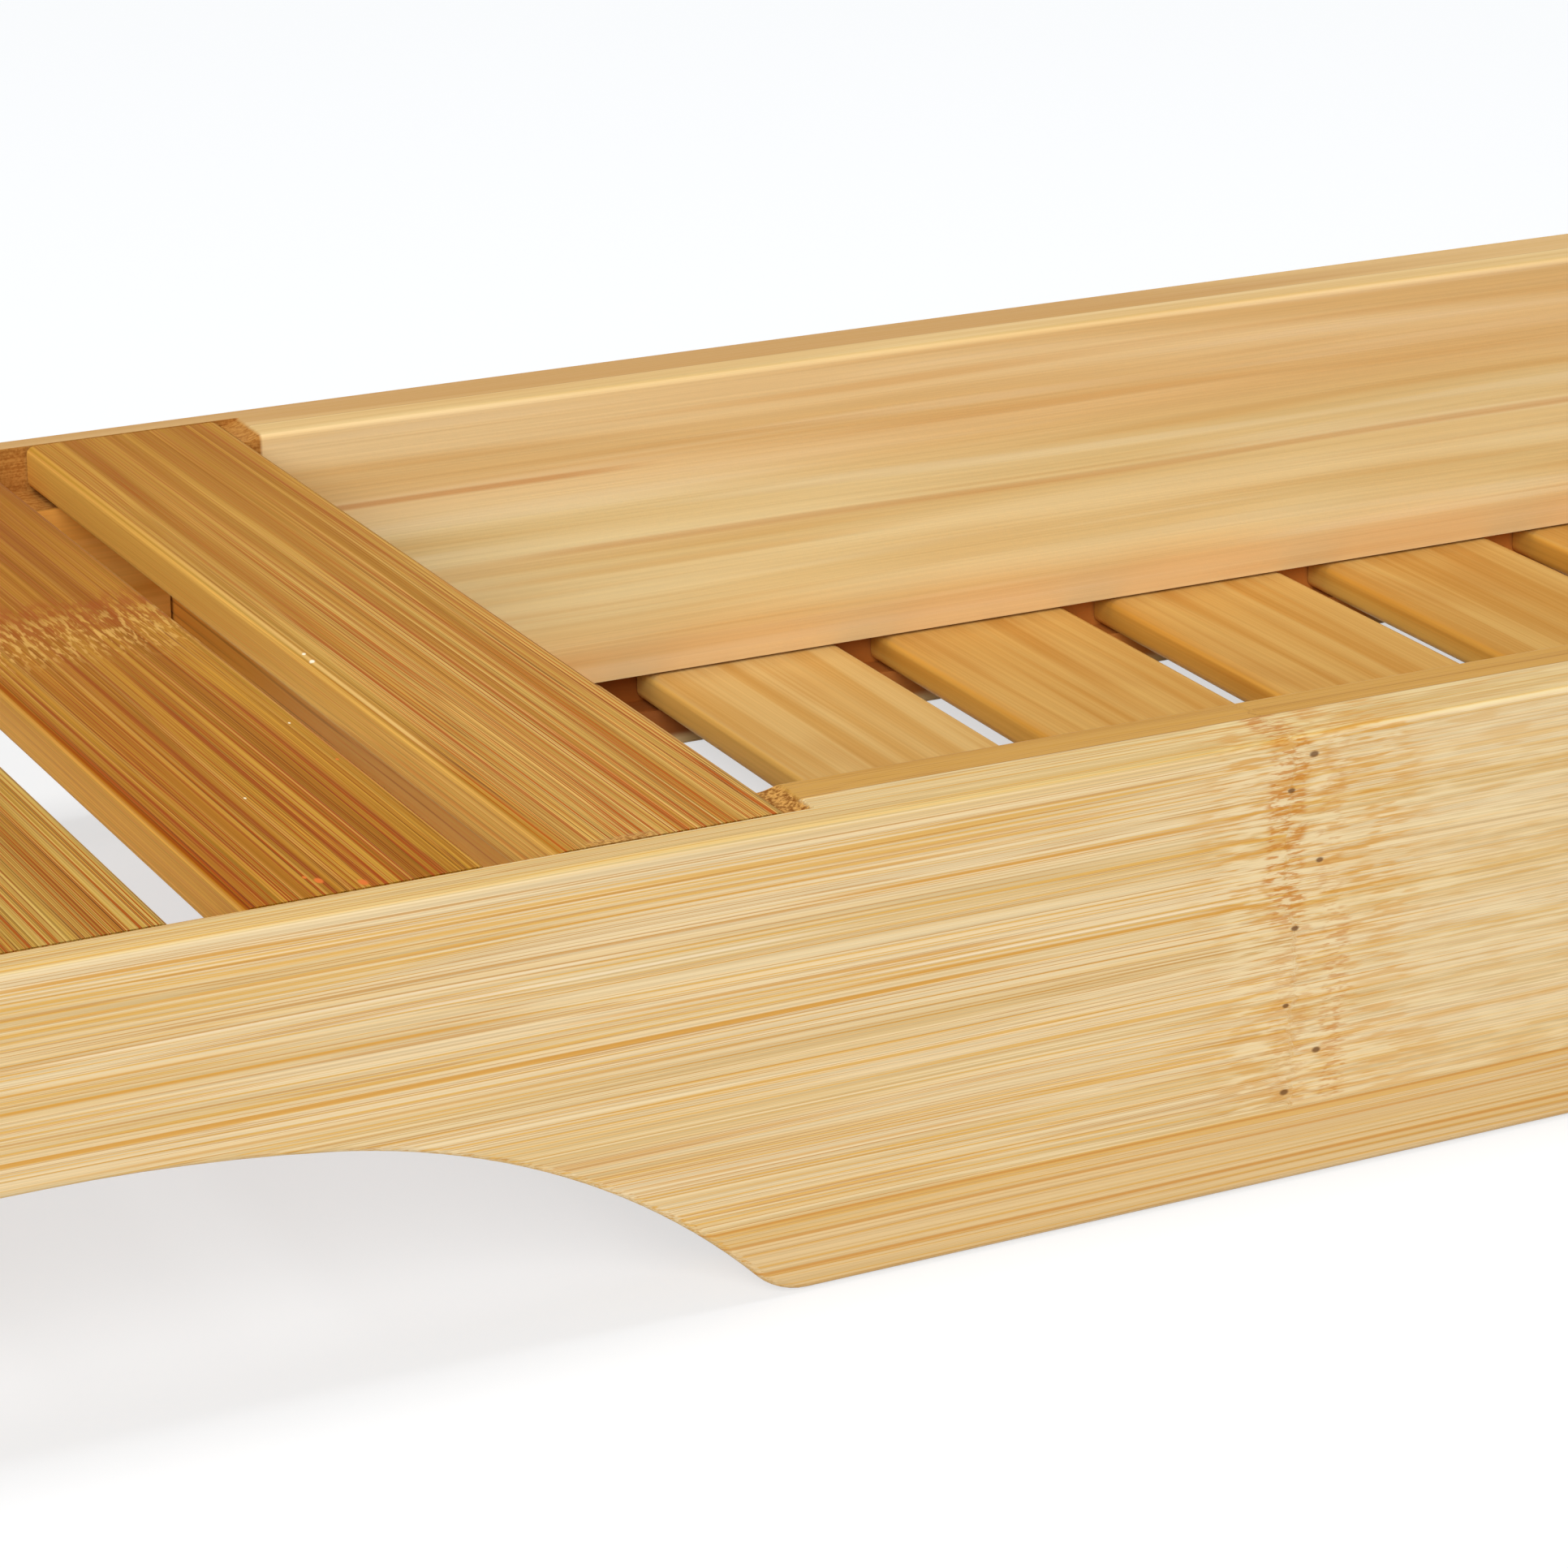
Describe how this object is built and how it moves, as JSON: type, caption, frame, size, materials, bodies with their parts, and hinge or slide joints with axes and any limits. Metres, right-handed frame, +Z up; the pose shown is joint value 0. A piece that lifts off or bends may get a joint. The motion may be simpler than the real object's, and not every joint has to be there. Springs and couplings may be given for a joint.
{
  "type": "bath caddy",
  "caption": "Long slatted bamboo tray that lies across a bathtub, with arched side rails, flush slatted arms that rest on the rims and a sunk slatted well between them.",
  "frame": {"origin": "middle of the caddy's footprint, on the plane of the rails' undersides", "axes": "+X along the caddy's length, +Y across it from the near rail to the far rail, +Z up"},
  "size_m": [0.7, 0.15, 0.0462],
  "materials": {
    "rail_bamboo": "pale two-ply laminated bamboo, sanded, clear satin lacquer",
    "slat_bamboo": "caramel vertical-grain bamboo strips with dark streaks, clear satin lacquer",
    "tray_bamboo": "honey-coloured bamboo slats, clear satin lacquer",
    "board_bamboo": "brown bamboo board, clear satin lacquer"
  },
  "bodies": {
    "root": {"rail_near": "rail_bamboo", "rail_far": "rail_bamboo", "crossbar_left": "slat_bamboo", "end_slat_left_1": "slat_bamboo", "end_slat_left_2": "slat_bamboo", "end_slat_left_3": "slat_bamboo", "end_slat_left_4": "slat_bamboo", "crossbar_right": "slat_bamboo", "end_slat_right_1": "slat_bamboo", "end_slat_right_2": "slat_bamboo", "end_slat_right_3": "slat_bamboo", "end_slat_right_4": "slat_bamboo", "end_board_left": "board_bamboo", "end_board_right": "board_bamboo", "tray_edge_slat_left": "tray_bamboo", "tray_slat_1": "tray_bamboo", "tray_slat_2": "tray_bamboo", "tray_slat_3": "tray_bamboo", "tray_slat_4": "tray_bamboo", "tray_slat_5": "tray_bamboo", "tray_slat_6": "tray_bamboo", "tray_slat_7": "tray_bamboo", "tray_slat_8": "tray_bamboo", "tray_slat_9": "tray_bamboo", "tray_slat_10": "tray_bamboo", "tray_slat_11": "tray_bamboo", "tray_slat_12": "tray_bamboo", "tray_edge_slat_right": "tray_bamboo"}
  },
  "joints": []
}
